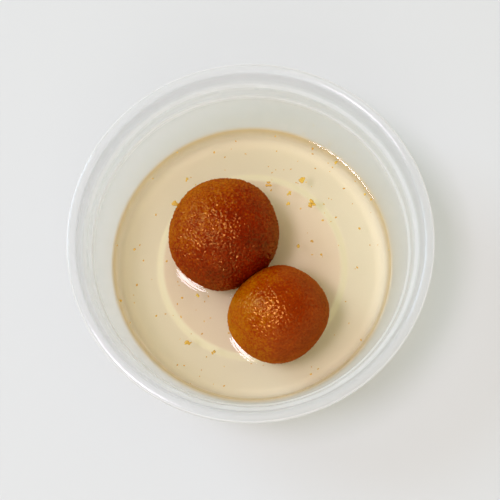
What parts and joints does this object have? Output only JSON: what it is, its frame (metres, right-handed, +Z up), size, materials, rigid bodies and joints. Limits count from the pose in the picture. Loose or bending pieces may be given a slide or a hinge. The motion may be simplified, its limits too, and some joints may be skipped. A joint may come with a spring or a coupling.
{
  "type": "gulab jamun in a tub",
  "caption": "Round open takeaway tub of translucent plastic holding fried milk dumplings that lie against each other in a shallow pool of pale sugar syrup.",
  "frame": {"origin": "middle of the tub's foot, on the surface that the tub stands on", "axes": "+Z up out of the tub's mouth; +X to the right and +Y to the back, seen with the small dumpling in front"},
  "size_m": [0.117, 0.117, 0.046],
  "materials": {
    "frosted_plastic": "thin translucent polypropylene, faintly milky, satin",
    "sugar_syrup": "clear pale amber sugar syrup, wet gloss",
    "dark_crust": "fine pebbled fried crust, dark red brown, wet with syrup",
    "light_crust": "fine pebbled fried crust, orange brown, wet with syrup",
    "saffron": "small soft flecks, orange yellow"
  },
  "bodies": {
    "root": {"tub": "frosted_plastic", "syrup": "sugar_syrup", "dumpling_large": "dark_crust", "dumpling_small": "light_crust"}
  },
  "joints": []
}
